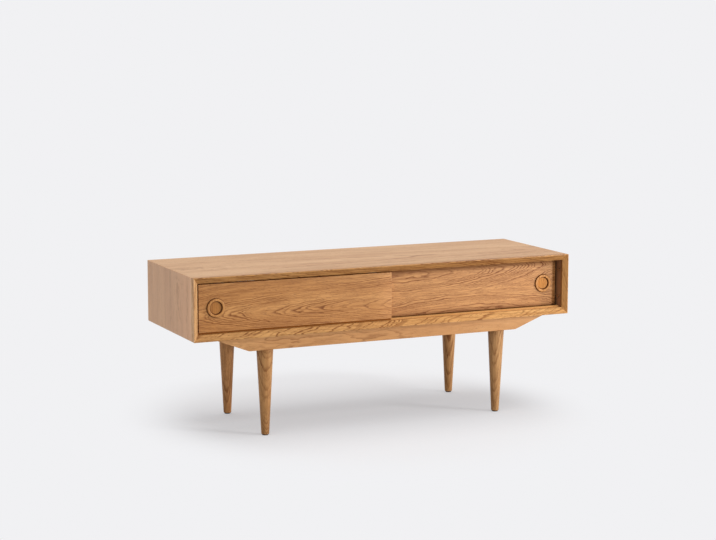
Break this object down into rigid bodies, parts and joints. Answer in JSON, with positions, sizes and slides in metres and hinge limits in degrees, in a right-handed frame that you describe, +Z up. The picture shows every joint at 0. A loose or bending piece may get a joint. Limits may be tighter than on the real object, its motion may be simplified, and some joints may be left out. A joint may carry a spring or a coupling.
{
  "type": "sliding door cabinet",
  "caption": "Low oak cabinet with bypass sliding doors, round cup pulls and tapered legs, for storage behind doors or under a screen.",
  "frame": {"origin": "on the floor, below the middle of the carcass", "axes": "+X along the front from the left door to the right, +Y from the front to the back, +Z up"},
  "size_m": [1.2, 0.4, 0.471],
  "materials": {
    "top_veneer": "satin oiled oak veneer, grain along the length",
    "side_veneer": "satin oiled oak veneer, grain upright",
    "panel_veneer": "satin oiled oak veneer, grain along the length",
    "door_veneer": "satin oiled oak veneer, flat-sawn figure lying level",
    "oak_edging": "satin oiled solid oak",
    "base_oak": "satin oiled solid oak",
    "leg_oak": "satin oiled solid oak, turned",
    "pull_oak": "satin oiled solid oak, turned",
    "back_board": "matt veneered board",
    "spline_plywood": "bare plywood",
    "beech_dowels": "bare beech",
    "track_plastic": "oak-coloured extruded plastic",
    "nylon": "dark brown nylon",
    "buffer_rubber": "dark brown soft rubber",
    "glide_plastic": "dark brown plastic",
    "zinc_screws": "zinc-plated steel"
  },
  "bodies": {
    "cabinet": {"top_panel": "top_veneer", "bottom_panel": "panel_veneer", "left_side_panel": "side_veneer", "right_side_panel": "side_veneer", "top_front_edging": "oak_edging", "bottom_front_edging": "oak_edging", "left_front_edging": "oak_edging", "right_front_edging": "oak_edging", "corner_splines": "spline_plywood", "back_panel": "back_board", "back_panel_screws": "zinc_screws", "centre_divider": "panel_veneer", "divider_edging": "oak_edging", "divider_dowels": "beech_dowels", "lower_front_track": "track_plastic", "upper_front_track": "track_plastic", "lower_rear_track": "track_plastic", "upper_rear_track": "track_plastic", "left_door_buffers": "buffer_rubber", "right_door_buffers": "buffer_rubber", "front_rail": "base_oak", "rear_rail": "base_oak", "left_cross_rail": "base_oak", "right_cross_rail": "base_oak", "front_left_leg": "leg_oak", "front_right_leg": "leg_oak", "rear_left_leg": "leg_oak", "rear_right_leg": "leg_oak", "front_left_glide": "glide_plastic", "front_right_glide": "glide_plastic", "rear_left_glide": "glide_plastic", "rear_right_glide": "glide_plastic", "cross_rail_dowels": "beech_dowels", "base_screws": "zinc_screws", "leg_inserts": "zinc_screws", "leg_bolts": "zinc_screws"},
    "front_door": {"front_door_panel": "door_veneer", "front_door_pull": "pull_oak", "front_door_runners": "nylon", "front_door_guides": "nylon"},
    "rear_door": {"rear_door_panel": "door_veneer", "rear_door_pull": "pull_oak", "rear_door_runners": "nylon", "rear_door_guides": "nylon"}
  },
  "joints": [
    {"name": "front_door_slide", "type": "slide", "parent": "cabinet", "child": "front_door", "axis": [1, 0, 0], "range_m": [0, 0.563]},
    {"name": "rear_door_slide", "type": "slide", "parent": "cabinet", "child": "rear_door", "axis": [1, 0, 0], "range_m": [-0.563, 0]}
  ]
}
